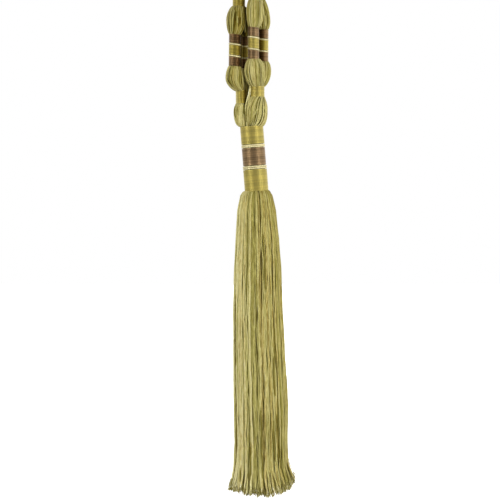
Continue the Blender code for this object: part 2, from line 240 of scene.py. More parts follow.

# Single yarns in the face of the skirt or of a skein, darker or paler than the rest: how thick they are, how
# much darker they are painted, and each one's way: height and place across by turns. Its ends dive under the
# rest. The dark ones are painted shade, laid where shade falls in the gaps between yarns and bulbs and along
# the skirt's left edge; the pale ones are paler yarns
Streaks = namedtuple("Streaks", "name face thickness dark ways")
STREAK_SINK = 0.1
STREAK_DIVE = 1.8
STREAK_HALF = 0.3
STREAKS = (
    Streaks("edge", "skirt", 1.3, 2.8, (
        (-446, -12, -460, -12.8, -471, -13.1, -490, -13.3, -516, -13.1, -530, -12.5,
         -552, -12.1, -575, -11.9, -597, -11.9, -608, -13.4, -617, -15.4, -628, -17.2),
    )),
    Streaks("dark", "skirt", 1.0, 1.5, (
        (-432, 5.6, -440, 6, -449, 6.2, -458, 6.6), (-388, 11, -400, 11.6, -412, 12.4, -424, 13.2),
        (-492, 22.6, -500, 23.1, -507, 23.2, -514, 23), (-522, 22, -531, 22.2, -540, 22.6, -549, 22.8),
        (-552, 23, -562, 23.4, -576, 23.6, -586, 24), (-582, 24.6, -590, 25.2, -599, 25.8, -608, 26.4),
        (-582, 0.6, -588, 0.8, -593, 1, -600, 1.2), (-552, 9.4, -560, 9.6, -568, 9.8, -576, 10.2),
        (-606, -2.4, -613, -2.2, -621, -2.4, -628, -2.6), (-604, 10.6, -612, 10.8, -620, 11, -629, 11.2),
        (-604, 29.2, -611, 29.8, -619, 30.6, -627, 31.4),
        (-604, -13.2, -612, -14.2, -620, -15.6, -629, -17.2),
        (-606, -10.4, -614, -11, -621, -12, -629, -13.2),
    )),
    Streaks("shade", "skirt", 1.5, 0.25, (
        (-540, 8.8, -560, 9.8, -575, 10.4, -590, 10.6, -610, 11.2, -629, 11.6),
        (-544, 24.4, -560, 24.8, -575, 25.2, -590, 26.4, -606, 27.6, -620, 29),
        (-588, 0, -600, 0.4, -614, 0.6, -629, 0.4), (-560, 20.6, -575, 21, -590, 21.8, -606, 22.4),
        (-392, 11.6, -405, 12.2, -420, 12.8, -440, 13.6, -456, 14.2),
        (-470, 21.8, -490, 22, -510, 21.6, -530, 21.4, -546, 21.8),
        (-604, -8, -612, -8.4, -620, -8.8, -628, -9.4),
    )),
    Streaks("pale", "skirt", 1.4, -0.25, (
        (-456, -10.8, -470, -11.5, -500, -11.7, -525, -11.1, -545, -10.6, -562, -10.2),
        (-548, 15, -560, 15.4, -575, 15.2, -590, 15.6, -604, 16.2),
        (-568, 7.6, -580, 8.2, -596, 8.8, -612, 8.4, -630, 7.8),
        (-586, 22.4, -598, 23.6, -610, 25, -622, 26.8, -629.5, 28.2),
        (-546, 3.4, -558, 4, -570, 5, -584, 6.2),
        (-592, -11.4, -604, -11.8, -614, -12.8, -622, -13.8, -629.5, -15.2),
        (-600, -8.6, -610, -9.2, -620, -9.8, -629.5, -10.8), (-598, 14.8, -608, 15.4, -618, 16.4, -629, 18),
    )),
    Streaks("left_pale", ("left", "front"), 1.5, -0.4, (
        (-193.8, -13, -198.3, -14.4, -203.7, -15.3, -209.1, -15.7, -213.6, -15.9, -217.2, -15.7),
        (-199, -11, -203, -11.2, -207, -11.2, -211, -11.5),
        (-249.6, -12.6, -255.9, -13.5, -262.2, -12.1, -266, -10.4),
        (-279.5, -9.4, -284, -9.9, -290, -9.9, -294.5, -8.8),
    )),
    Streaks("left_dark", ("left", "front"), 1.2, 3.0, (
        (-194.7, -12.2, -199, -12.6, -204, -12.9, -209, -13),
        (-197.4, -8.9, -203, -8.5, -208, -8.8, -212, -9.4),
        (-195, -8, -200, -6.9, -206, -6.5, -211, -7.4, -215, -9.4),
        (-198, -10.4, -204, -10.1, -210, -10.3, -214, -11),
        (-249.6, -16.2, -255, -17.1, -260.4, -15.7, -264, -13.5),
        (-249.6, -9.6, -255.9, -7.8, -261.3, -7.4, -265, -8.1),
        (-256, -20.4, -259.5, -19.6, -262.7, -17.6, -266, -14.6),
    )),
    Streaks("low_dark", ("left", "front"), 1.0, 0.5, (
        (-280, -10.6, -284, -11.5, -289, -11.7, -294, -10.6),
        (-279.5, -6.2, -283, -6, -288, -5.4, -293, -4.8),
        (-281, -13, -285, -13.9, -290, -13.8, -294.5, -11.8),
    )),
    Streaks("right_pale", ("right", "front"), 1.2, -0.25, (
        (-245, -2.6, -251.4, -3.8, -257.7, -2.4, -262, 1), (-246, 10, -253.2, 11.8, -259.5, 9.8),
        (-275.5, 1.8, -281.1, -0.3, -288.7, -2.4, -294.6, -1.2), (-279.3, 8.5, -287.4, 5.4, -294.6, 2.6),
        (-280.2, 11.7, -286.5, 13.6, -293, 11),
    )),
    Streaks("right_dark", ("right", "front"), 1.1, 1.4, (
        (-243.4, 0, -249.6, -2, -256.8, -0.8, -262, 2.2), (-244.2, 7.2, -251.4, 8.5, -258.6, 8.1),
        (-275.5, 3.2, -282.9, 1.8, -291, 0.2), (-280.2, 9.9, -288.3, 7.2, -295, 5),
    )),
    Streaks("behind_pale", ("right", "back"), 1.3, -0.15, (
        (-196, 15, -202, 16.8, -208, 17, -213, 14.8), (-198, 13.6, -206, 14.2, -212, 13.4),
    )),
    Streaks("behind_dark", ("right", "back"), 1.2, 1.5, (
        (-188, 11.6, -191, 12.8, -195, 14, -199, 14.8),
    )),
    Streaks("gap_pale", ("left", "back"), 1.2, -0.1, (
        (-205, -4.9, -209.5, -4.7, -213.5, -4.4, -217.5, -4.2),
    )),
)

# Where each group's seeds start, and how far apart the two skeins' are
SKEIN_SEEDS = 10
SKIRT_SEED = 30
SLACK_SEED = 50
STREAK_SEED = 70
BIGHT_SEED = 60

# How a winding lies: how steeply it falls to the right, how much darker it is painted, and how much darker
# still at its left. The darkness is painted shade, on windings that lie in shade: behind the front skeins, on
# the left arm and on the shaded right sides of the left bindings
Lie = namedtuple("Lie", "slant dark left_shade", defaults=(0.0, 0.0, 0.0))
LIES = {
    "band_left_front": Lie(-0.12, 0.6, -0.7),
    "band_left_back": Lie(-0.02, 0.45, 0.5),
    "band_right_front": Lie(-0.12, 0.06, 0.1),
    "band_right_back": Lie(-0.06, 0.95, 1.4),
    "binding_a_left": Lie(0.0, 0.3, -0.6),
    "binding_b_left": Lie(0.0, 0.5, -0.5),
}

# Each thread's material slot, its finish, how uneven its dye is, its roughness and how metallic its gloss
THREADS = {
    "gold": ("gold_thread", "Gold thread", 0.2, 0.42, 0.8),
    "brown": ("brown_thread", "Brown thread", 0.55, 0.38, 0.88),
    "cream": ("cream_cord", "Cream cord", 0.05, 0.42, 0.5),
}

# Cord shows its plies, and each turn is level but for its last step. Thread climbs all the way, and lies a
# little closer than its thickness. Cord takes little of its winding's painted shade
CORD_INPUTS = {"Turn points": 90, "Lead": 0.0, "Step share": 0.08, "Uneven": 0.0, "Flat": 1.0, "Sides": 12}
CORD_INPUTS |= {"Ply depth": 0.16, "Lay": 3.2 * MM}
THREAD_INPUTS = {"Turn points": 36, "Lead": 1.0, "Step share": 1.0, "Flat": 0.5, "Sides": 5}
THREAD_INPUTS |= {"Ply depth": 0.0, "Lay": 0.0}
THREAD_CLOSENESS = 1.06
CORD_SHADE_SHARE = 0.12
WINDING_START = math.radians(104)

# How far to each side of the camera the strip lights stand
STRIP_ANGLE = math.radians(50)


def linear(hex_colour):
    """An sRGB hex colour as linear red, green and blue."""
    shares = [int(hex_colour[start : start + 2], 16) / 255 for start in (1, 3, 5)]
    return tuple(c / 12.92 if c <= 0.04045 else ((c + 0.055) / 1.055) ** 2.4 for c in shares)


def colour(name, description, hex_colour):
    return FloatVectorProperty(
        name=name, description=description, default=linear(hex_colour), subtype="COLOR", size=3, min=0, max=1
    )


def number(name, description, default, **limits):
    return FloatProperty(name=name, description=description, default=default, **limits)


def millimetres(name, description, default):
    return number(name, description, default * MM, unit="LENGTH")


class YarnSettings(bpy.types.PropertyGroup):
    """The yarn of the skeins and of the skirt."""

    olive: colour("Olive", "The darkest yarns", "#8A803F")
    moss: colour("Moss", "Yarns that lean to green", "#A9A156")
    straw: colour("Straw", "The usual yarn", "#C3B971")
    pale: colour("Pale", "The lightest yarns", "#D6CD8E")
    tan: colour("Tan", "Yarns that lean to tan", "#CCBC72")
    khaki: colour("Khaki", "Dull brownish yarns", "#A29150")
    squeezed: number("Squeezed", "A yarn's thickness under a binding, as a share", 0.72, min=0.3, max=1)
    flat: number("Flat", "How deep a yarn is, as a share of its width", 0.62, min=0.2, max=1)
    wander: millimetres("Wander", "How far a yarn strays sideways", 0.9)
    wave: millimetres("Wave", "How long the waves of a straying yarn are", 20)
    locks: millimetres("Locks", "How far neighbouring yarns stray together", 0.5)
    kinship: number("Kinship", "How much of its tone a yarn shares with its neighbours", 0.2, max=1)
    ply_lay: millimetres("Ply lay", "The length of one twist of the two plies", 9)
    seed: IntProperty(name="Seed", description="Picks another lie of the yarns", default=7)


class SkirtSettings(bpy.types.PropertyGroup):
    """How the skirt hangs and how its hem is cut. Most of the names are those of inputs of its trees."""

    wander: millimetres("Wander", "How far a yarn strays sideways", 1.3)
    wave: millimetres("Wave", "How long the waves of a straying yarn are", 30)
    locks: millimetres("Locks", "How far neighbouring yarns stray together", 0.9)
    unrest: number("Unrest", "How much more a yarn strays at the hem", 1.1, min=0)
    parting: number("Parting", "Where the yarns part, from the left edge at -1 to the right at 1", 0.19)
    parting_depth: millimetres("Parting depth", "How deep the yarns lie in the parting", 1.8)
    # Painted shade in the parting
    parting_shade: number("Parting shade", "How much darker the parting is painted, as its shade", 0.35)
    # Painted shade at the right and painted light at the left
    right_shade: number("Right shade", "How much darker the right is painted than the middle and the left lighter, as shade and light", 0.36)
    # Darker towards the head
    head_shade: number("Head shade", "How much darker the yarn is towards the head", 1.1)
    # Darker at the hem, and lighter where this is below 0
    hem_shade: number("Hem shade", "How much darker the yarn is at the hem", -0.18)
    kinship: number("Kinship", "How much of its tone a yarn shares with its neighbours", 0.2, max=1)
    hem_lift: millimetres("Hem lift", "How much higher the hem is at its two sides", 6.1)
    corner_lift: millimetres("Corner lift", "How much higher still the right corner is", 7)
    ragged: millimetres("Ragged", "How uneven the yarns are cut", 5.2)
    fray: millimetres("Fray", "How far loose filaments stand out of a cut end", 4)
    filaments: IntProperty(name="Filaments", description="Loose filaments at one cut end", default=5, min=1)


class ThreadSettings(bpy.types.PropertyGroup):
    """The fine thread and the cord that are wound over the yarn."""

    gold: colour("Gold", "Gold thread", "#CABA66")
    brown: colour("Brown", "Brown thread", "#9C825F")
    cream: colour("Cream", "Cream cord", "#F6EAB4")
    thickness: millimetres("Thread", "Thickness of the gold and brown thread", 0.8)
    cord: millimetres("Cord", "Thickness of the cream cord", 1.6)
    uneven: millimetres("Uneven", "How unevenly the turns lie", 0.12)


class StudioSettings(bpy.types.PropertyGroup):
    """The camera, the lights and the floor."""

    lens: number("Lens", "Focal length", 300.0, unit="CAMERA")
    strip_angle: number("Strip angle", "How far to each side the strips stand", STRIP_ANGLE, subtype="ANGLE")
    left_power: number("Left strip", "Power of the left strip", 12.5, unit="POWER")
    right_power: number("Right strip", "Power of the right strip", 11.5, unit="POWER")
    front_room: number("Room in front", "Light from the room behind the camera", 0.23, min=0)
    back_room: number("Room behind", "Light from the pale wall behind", 1.25, min=0)
    floor_drop: millimetres("Floor drop", "Height from the floor to the hem", 60)


# Plain words for the kinds of node that the trees use most, each with its name in Blender and its settings
MATHS = {"plus": "ADD", "minus": "SUBTRACT", "times": "MULTIPLY", "over": "DIVIDE", "power": "POWER"}
MATHS |= {"times plus": "MULTIPLY_ADD", "cosine": "COSINE", "sine": "SINE", "larger": "MAXIMUM"}
MATHS |= {"smaller": "MINIMUM", "above": "GREATER_THAN", "below": "LESS_THAN", "near": "COMPARE"}
MATHS |= {"remainder": "MODULO", "whole": "FLOOR", "unsigned": "ABSOLUTE"}
VECTOR_MATHS = {"vector plus": "ADD", "vector minus": "SUBTRACT", "vector times": "MULTIPLY"}
VECTOR_MATHS |= {"vector times plus": "MULTIPLY_ADD", "vector power": "POWER", "scaled": "SCALE"}
VECTOR_MATHS |= {"part along": "PROJECT", "unit": "NORMALIZE", "cross": "CROSS_PRODUCT", "dot": "DOT_PRODUCT"}
KINDS = {word: "ShaderNodeMath operation " + operation for word, operation in MATHS.items()}
KINDS |= {word: "ShaderNodeVectorMath operation " + operation for word, operation in VECTOR_MATHS.items()}
KINDS |= {
    "split": "ShaderNodeSeparateXYZ",
    "join": "ShaderNodeCombineXYZ",
    "mix": "ShaderNodeMix data_type FLOAT",
    "map": "ShaderNodeMapRange",
    "noise": "ShaderNodeTexNoise",
    "random": "FunctionNodeRandomValue data_type FLOAT",
    "random vector": "FunctionNodeRandomValue data_type FLOAT_VECTOR",
    "read": "GeometryNodeInputNamedAttribute data_type FLOAT",
    "read vector": "GeometryNodeInputNamedAttribute data_type FLOAT_VECTOR",
    "store": "GeometryNodeStoreNamedAttribute data_type FLOAT domain POINT",
    "store vector": "GeometryNodeStoreNamedAttribute data_type FLOAT_VECTOR domain POINT",
    "store by yarn": "GeometryNodeStoreNamedAttribute data_type FLOAT domain CURVE",
    "place": "GeometryNodeInputPosition",
    "move": "GeometryNodeSetPosition",
    "spline": "GeometryNodeSplineParameter",
    "line": "GeometryNodeCurvePrimitiveLine",
    "copies": "GeometryNodeDuplicateElements domain SPLINE",
    "resample": "GeometryNodeResampleCurve mode COUNT",
    "facing": "GeometryNodeSetCurveNormal mode FREE",
    "tube": "GeometryNodeCurveToMesh",
    "carried": "ShaderNodeAttribute",
}


def add(tree, kind, *sources, **settings):
    """Adds a node. Sources go to its sockets in order, None to none: a node, a socket or a value."""
    kind, *words = KINDS.get(kind, kind).split()
    node = tree.nodes.new(kind)
    for name, value in (*zip(words[::2], words[1::2]), *settings.items()):
        setattr(node, name, value)
    sockets = [socket for socket in node.inputs if not socket.is_unavailable]
    for socket, source in zip(sockets, sources):
        if isinstance(source, bpy.types.Node):
            source = next(output for output in source.outputs if not output.is_unavailable)
        if isinstance(source, bpy.types.NodeSocket):
            tree.links.new(source, socket)
        elif source is not None:
            socket.default_value = source
    return node


# The trees' inputs. One that isn't named here is a float
INPUT_KINDS = {"Guide": "Geometry", "Material": "Material"}
INPUT_KINDS |= dict.fromkeys(("Yarns", "Seed", "Sides", "Filaments", "Turns", "Turn points", "Plies"), "Int")
LINE_INPUTS = (
    "Guide, Yarns, Reach, Sink, Thickness, Wander, Wander length, Unrest, Locks, Kinship, Uneven dye, "
    "Head shade, Hem shade, Flat, Parting, Parting depth, Hem lift, Corner lift, Ragged, Parting shade, "
    "Right shade, Layer shade, Seed"
).split(", ")
YARN_INPUTS = [*LINE_INPUTS, "Squeezed", "Sides", "Material"]
FRAY_INPUTS = [*LINE_INPUTS, "Filaments", "Fray", "Material"]
WINDING_INPUTS = (
    "Guide, Half width, Half depth, Thickness, Turns, Turn points, Lead, Start, Step share, Uneven, Flat, "
    "Slant, Dark, Left shade, Sides, Plies, Ply depth, Lay, Seed, Material"
).split(", ")


def new_tree(name, inputs, output):
    """A tree with these named inputs. It returns add for this tree, and its input sockets by name."""
    tree = bpy.data.node_groups.new(name, "GeometryNodeTree")
    for label in inputs:
        kind = "NodeSocket" + INPUT_KINDS.get(label, "Float")
        tree.interface.new_socket(label, in_out="INPUT", socket_type=kind)
    tree.interface.new_socket(output, in_out="OUTPUT", socket_type="NodeSocketGeometry")
    group = tree.nodes.new("NodeGroupInput")
    return partial(add, tree), {socket.name: socket for socket in group.outputs if socket.name}


def signed_noise(put, *spot):
    """Noise from -1 to 1 in each direction."""
    noise = put("noise", put("join", *spot), 1.0, 1.0)
    return put("vector times plus", noise.outputs["Color"], (2, 2, 2), (-1, -1, -1))


# How far apart two yarns read the noise, how far by chance a yarn is from its even place in the ring, how
# many locks there are round it, and how slowly they change down it
NOISE_LANES = 90.0
RING_CHANCE = 1.1
LOCKS_ROUND = 3.4
LOCK_CHANGE = 0.45

# The least half width that a stray is measured against, how deep every second yarn is pressed where it is
# bound, and how few lie deep
LEAST_WIDTH = 2 * MM
PRESSED = 0.9 * MM
FEWNESS = 3.0

# How far apart the yarns' shared tone and their locks read the noise, how coarse the tone's noise is, and the
# part of it that goes from the darkest tone to the palest
KIN_AWAY = 5.0
KIN_COARSENESS = 0.7
KIN_PART = (0.3, 0.7)

# A yarn's least and most thickness as a share of its layer's, and what sets their draw apart from the tones'
THIN_TO_THICK = (0.32, 0.68)
THICK_DRAW = 500.0

# How wide the skirt's parting is and where it closes, how sharp the right corner is, from where down the
# hem's shade comes in, and the taper of the cut ends
PARTING_WIDTH = 0.045
PARTING_CLOSES = (0.28, 0.5)
CORNER_SHARPNESS = 7.0
HEM_SHADE_FROM = 0.9
TAPER_FROM = 0.97
TAPER_TO = 0.45


def yarn_lines_tree():
    """Lays copies of the guide side by side in its section: the centre line of each yarn of a bundle."""
    put, given = new_tree("Yarn lines", LINE_INPUTS, "Lines")
    copies = put("copies", put("GeometryNodeMeshToCurve", given["Guide"]), None, given["Yarns"])
    yarn = copies.outputs["Duplicate Index"]
    across = put("read vector", "across")
    wide, front, back, squeeze, down, lay, dark = (put("read", name) for name in Station._fields[2:])
    chance = put("random vector", (0, 0, 0), (1, 1, 1), yarn, given["Seed"])
    chance_x, chance_y, chance_z = put("split", chance).outputs

    # Where a yarn strays: noise that runs along it, another for each yarn
    wave = put("over", put("spline").outputs["Length"], given["Wander length"])
    lane = put("times plus", chance_x, NOISE_LANES, yarn)
    unrest = put("times plus", down, given["Unrest"], 1.0)
    wander = put("times", given["Wander"], unrest)
    stray = put("scaled", signed_noise(put, lane, wave, given["Seed"]), wander)
    stray_x, stray_y, _ = put("split", stray).outputs

    # The yarn's angle in the section
    share = put("over", put("times plus", chance_y, RING_CHANCE, yarn), given["Yarns"])
    even = put("times plus", share, TURN, lay)
    even_place = put("cosine", even)
    facing = put("sine", even)

    # Neighbours stray together, in locks that crowd and part
    ring = put("join", even_place, facing, 0.0)
    lock_spot = put("vector times", ring, (LOCKS_ROUND, LOCKS_ROUND, 0.0))
    lock_run = put("join", given["Seed"], 0.0, put("times", wave, LOCK_CHANGE))
    lock_noise = put("noise", put("vector plus", lock_spot, lock_run), 1.0, 1.0)
    lock_way = put("times plus", lock_noise.outputs["Fac"], 2.0, -1.0)
    lock_reach = put("times", given["Locks"], unrest)
    aside = put("times plus", lock_way, lock_reach, stray_x)
    turned = put("over", aside, put("larger", wide, LEAST_WIDTH))
    angle = put("plus", even, turned)
    cosine = put("cosine", angle)
    sine = put("sine", angle)

    # Its reach: every second yarn sinks a little where it is bound, and a few lie deep all the way
    sunk = put("times", put("remainder", yarn, 2.0), squeeze)
    deep_all_way = put("times", put("power", chance_z, FEWNESS), given["Sink"])
    pressed = put("times plus", sunk, PRESSED, deep_all_way)
    beside = put("near", even_place, given["Parting"], PARTING_WIDTH)
    closing = put("map", down, *PARTING_CLOSES, 1.0, 0.0)
    parted = put("times", put("times", beside, closing), put("below", facing, 0.0))
    sink = put("times plus", parted, given["Parting depth"], pressed)
    half = put("times plus", given["Thickness"], put("times", given["Flat"], 0.5), sink)
    inward = put("times plus", put("unsigned", stray_y), 0.5, half)
    deep = put("mix", put("above", sine, 0.0), front, back)
    placed = []
    for size, circle, way in ((wide, cosine, across), (deep, sine, DEPTH_AXIS)):
        kept = put("minus", put("times", size, given["Reach"]), inward)
        length = put("times", put("larger", kept, 0.0), circle)
        placed.append(put("scaled", way, length))

    # The hem: higher at the sides, highest at the right corner, and cut a little unevenly
    side = put("times", cosine, given["Reach"])
    corner = put("power", put("larger", side, 0.0), CORNER_SHARPNESS)
    cut = put("times", chance_x, given["Ragged"])
    lift = put("times plus", put("power", side, 2.0), given["Hem lift"], cut)
    most = put("times plus", corner, given["Corner lift"], lift)
    rise = put("join", 0.0, 0.0, put("times", most, down))
    moved = put("vector plus", *placed)
    lines = put("move", copies, None, None, put("vector plus", moved, rise))

    # The yarn's flat side faces out of the bundle, and that of a yarn by itself to the front
    lengthwise = put("part along", moved, put("GeometryNodeInputTangent"))
    outward = put("vector minus", moved, lengthwise)
    nudged = put("vector plus", outward, (0.0, -1e-5, 0.0))
    lines = put("facing", lines, None, put("unit", nudged))

    # Painted shade in the parting, the row's dark made uneven from yarn to yarn, painted shade towards the
    # right and painted light towards the left, the painted shade of the inner layers, darker towards the
    # head, and less dark at the hem
    own = put("times plus", put("minus", chance_z, 0.5), given["Uneven dye"], 1.0)
    parting_and_row_dark = put("times plus", parted, given["Parting shade"], put("times", dark, own))
    sideways = put("times plus", even_place, given["Right shade"], parting_and_row_dark)
    layered = put("plus", sideways, given["Layer shade"])
    high = put("larger", put("minus", 0.5, down), 0.0)
    headed = put("times plus", put("power", high, 2.0), given["Head shade"], layered)
    hemmed = put("map", down, HEM_SHADE_FROM, 1.0, 0.0, given["Hem shade"])
    lines = put("store", lines, None, "dark", put("plus", headed, hemmed))

    # Each yarn's tone, partly its own and partly what it shares with its neighbours, and its thickness
    own_tone = put("random", 0.0, 1.0, yarn, given["Seed"])
    kin_place = put("vector plus", lock_spot, put("join", given["Seed"], 0.0, KIN_AWAY))
    kin_noise = put("noise", kin_place, KIN_COARSENESS, 0.0)
    kin_tone = put("map", kin_noise.outputs["Fac"], *KIN_PART, 0.0, 1.0)
    tone = put("mix", given["Kinship"], own_tone, kin_tone)
    thick = put("random", *THIN_TO_THICK, put("plus", yarn, THICK_DRAW), given["Seed"])
    lines = put("store by yarn", lines, None, "tone", tone)
    put("NodeGroupOutput", put("store by yarn", lines, None, "thick", thick))


def bundle_lines(put, given):
    """The yarn lines group inside another tree, with that tree's own inputs of the same names."""
    values = (given[label] for label in LINE_INPUTS)
    return put("GeometryNodeGroup", *values, node_tree=tree_named("Yarn lines"))


def finish_tree(put, made, material):
    """Shades smooth, realizes and gives the material."""
    real = put("GeometryNodeRealizeInstances", put("GeometryNodeSetShadeSmooth", made))
    put("NodeGroupOutput", put("GeometryNodeSetMaterial", real, None, material))


def store_run(put, curve):
    """Stores how far along its yarn or thread each point is, in millimetres."""
    run = put("times", put("spline").outputs["Length"], 1 / MM)
    return put("store", curve, None, "along", run)


def profile(put, sides, flat=1.0):
    """An oval of half width 1. Its points know their place round the yarn as a vector, so it has no seam."""
    place = put("place")
    circle = put("GeometryNodeCurvePrimitiveCircle", sides, 1.0, mode="RADIUS")
    known = put("store vector", circle, None, "around", place)
    return put("move", known, None, put("vector times", place, put("join", flat, 1.0, 1.0)))


def yarn_tree():
    """A bundle of yarns as tubes, squeezed thinner where they are bound."""
    put, given = new_tree("Yarn bundle", YARN_INPUTS, "Yarn")
    lines = bundle_lines(put, given)
    full, squeeze, down = (put("read", name) for name in ("thick", "squeeze", "down"))
    share = put("mix", squeeze, full, put("times", full, given["Squeezed"]))
    tapered = put("times", share, put("map", down, TAPER_FROM, 1.0, 1.0, TAPER_TO))
    radius = put("times", tapered, given["Thickness"])
    section = profile(put, given["Sides"], given["Flat"])
    finish_tree(put, put("tube", store_run(put, lines), section, radius, True), given["Material"])


# A tuft of a cut end, one unit long: its foot inside the yarn, how far its filaments lean aside, how far they
# part along their way and at its start, and how thick they are
TUFT_FOOT = (0.0, 0.0, -0.4)
TUFT_LEAN = ((-0.7, -0.7, -0.5), (0.7, 0.7, 0.2))
TUFT_PARTING = (0.45, 0.18)
FILAMENT_RADIUS = 0.05

# The least and the most depth of dye and length of a tuft
TUFT_DYES = (-1.1, 0.5)
TUFT_LENGTHS = (0.5, 1.3)


def fray_tree():
    """A few fine filaments that stand out of the cut end of each yarn."""
    put, given = new_tree("Frayed ends", FRAY_INPUTS, "Frays")
    lines = bundle_lines(put, given)

    # One tuft, a unit long: filaments that leave the yarn side by side and part
    bent = put("resample", put("line", TUFT_FOOT, (0, 0, 1)), None, 4)
    copies = put("copies", bent, None, given["Filaments"])
    way = put("random vector", *TUFT_LEAN, copies.outputs["Duplicate Index"])
    parted = put("times plus", put("spline").outputs["Factor"], *TUFT_PARTING)
    spread = put("move", copies, None, None, put("scaled", way, parted))
    tuft = put("tube", spread, profile(put, 3), FILAMENT_RADIUS, True)

    # One tuft at each cut end, turned and sized by chance, some of them dark
    lines = put("store", lines, None, "dark", put("random", *TUFT_DYES))
    ends = put("GeometryNodeCurveEndpointSelection", 0, 1)
    tangent = put("GeometryNodeInputTangent")
    aim = put("FunctionNodeAlignRotationToVector", None, None, tangent, axis="Z")
    spin = put("FunctionNodeAxisAngleToRotation", (0, 0, 1), put("random", 0.0, TURN))
    turned = put("FunctionNodeRotateRotation", aim, spin, rotation_space="LOCAL")
    length = put("times", put("random", *TUFT_LENGTHS), given["Fray"])
    tufts = put("GeometryNodeInstanceOnPoints", lines, ends, tuft, None, None, turned, length)
    finish_tree(put, tufts, given["Material"])


# How far apart two turns read the noise of their slack
TURN_LANES = 0.9


def winding_tree():
    """Thread or cord wound side by side round an oval that follows the guide."""
    put, given = new_tree("Winding", WINDING_INPUTS, "Thread")
    guide = put("GeometryNodeMeshToCurve", given["Guide"])
    laid = put("plus", given["Turns"], given["Lead"])
    count = put("plus", put("times", laid, given["Turn points"]), 1.0)
    points = put("resample", put("line"), None, count)
    index = put("GeometryNodeInputIndex")
    turn = put("over", index, given["Turn points"])

    # Each turn lies flat for most of its way and then steps over to its next place. The lead closes both ends
    whole = put("whole", turn)
    flat = put("minus", 1.0, given["Step share"])
    step = put("map", put("minus", turn, whole), flat, 1.0, 0.0, 1.0)
    gaps = put("minus", given["Turns"], 1.0)
    led = put("minus", put("plus", whole, step), given["Lead"])
    last = put("smaller", put("larger", led, 0.0), gaps)
    free = put("minus", put("GeometryNodeCurveLength", guide), given["Thickness"])
    pitch = put("over", free, put("larger", gaps, 1.0))
    radius = put("times", given["Thickness"], 0.5)
    run = put("times plus", last, pitch, radius)
    sample = put("GeometryNodeSampleCurve", guide, None, run, mode="LENGTH")
    tangent = sample.outputs["Tangent"]
    across = put("cross", DEPTH_AXIS, tangent)

    # Slack: noise that changes slowly round a turn and quickly from turn to turn
    angle = put("times plus", turn, TURN, given["Start"])
    cosine = put("cosine", angle)
    sine = put("sine", angle)
    lane = put("times plus", turn, TURN_LANES, given["Seed"])
    slack = put("scaled", signed_noise(put, cosine, sine, lane), given["Uneven"])
    slack_in, slack_along, _ = put("split", slack).outputs
    inward = put("minus", put("times", radius, given["Flat"]), slack_in)
    leftward = put("times", given["Half width"], cosine)
    lower = put("times plus", leftward, given["Slant"], slack_along)
    placed = []
    for size, circle, way in (("Half width", cosine, across), ("Half depth", sine, DEPTH_AXIS)):
        reach = put("times", put("minus", given[size], inward), circle)
        placed.append(put("scaled", way, reach))
    inside = put("vector plus", sample.outputs["Position"], put("scaled", tangent, lower))
    deep = put("vector plus", put("vector plus", inside, placed[0]), placed[1])

    # The thread's flat side faces out
    outward = put("unit", put("vector plus", *placed))
    wound = put("facing", put("move", points, None, deep), None, outward)

    # The twist of the plies, which a lay of 0 leaves out
    turns = put("over", put("spline").outputs["Length"], given["Lay"])
    tilt = put("times", turns, TURN)
    twisted = put("GeometryNodeSetCurveTilt", store_run(put, wound), None, tilt)
    toned = put("store", twisted, None, "tone", put("random", 0.0, 1.0, whole, given["Seed"]))
    # Painted shade: the winding is darker all round by its Dark, and by its Left shade darker at the left and
    # lighter at the right
    shade = put("times plus", cosine, given["Left shade"], given["Dark"])
    toned = put("store", toned, None, "dark", shade)
    lobes = put("times", put("over", index, given["Sides"]), given["Plies"])
    crown = put("cosine", put("times", lobes, TURN))
    groove = put("map", crown, -1.0, 1.0, 1.0, 0.0)
    kept = put("minus", 1.0, put("times", groove, given["Ply depth"]))
    lobed = put("scaled", put("place"), kept)
    section = put("move", profile(put, given["Sides"], given["Flat"]), None, lobed)
    finish_tree(put, put("tube", toned, section, radius, True), given["Material"])


TREES = {
    "Yarn lines": yarn_lines_tree,
    "Yarn bundle": yarn_tree,
    "Frayed ends": fray_tree,
    "Winding": winding_tree,
}


def tree_named(name):
    """One of the node trees, built on first use."""
    if name not in bpy.data.node_groups:
        TREES[name]()
    return bpy.data.node_groups[name]


def grow(name, guide, tree, values):
    """Runs a tree on a guide mesh and keeps the result as a plain mesh object."""
    made = bpy.data.objects.new(name, guide)
    bpy.context.scene.collection.objects.link(made)
    modifier = made.modifiers.new(tree.name, "NODES")
    modifier.node_group = tree
    for socket in tree.interface.items_tree:
        if socket.in_out == "INPUT" and socket.name in values:
            modifier[socket.identifier] = values[socket.name]
    depsgraph = bpy.context.evaluated_depsgraph_get()
    made.update_tag()
    mesh = bpy.data.meshes.new_from_object(made.evaluated_get(depsgraph), depsgraph=depsgraph)
    if not mesh.polygons:
        raise RuntimeError(f"{name} came out empty")
    for field in Station._fields[1:-1]:
        if field in mesh.attributes:
            mesh.attributes.remove(mesh.attributes[field])
    made.modifiers.clear()
    made.data = mesh
    mesh.name = name
    bpy.data.meshes.remove(guide)
    return made


def seat(made, slot, *nodes):
    """Puts a finished piece on the tieback, in place of its solids."""
    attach(made, BODY)
    if nodes:
        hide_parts(*nodes)


def mix(low, high, share):
    return low + (high - low) * share


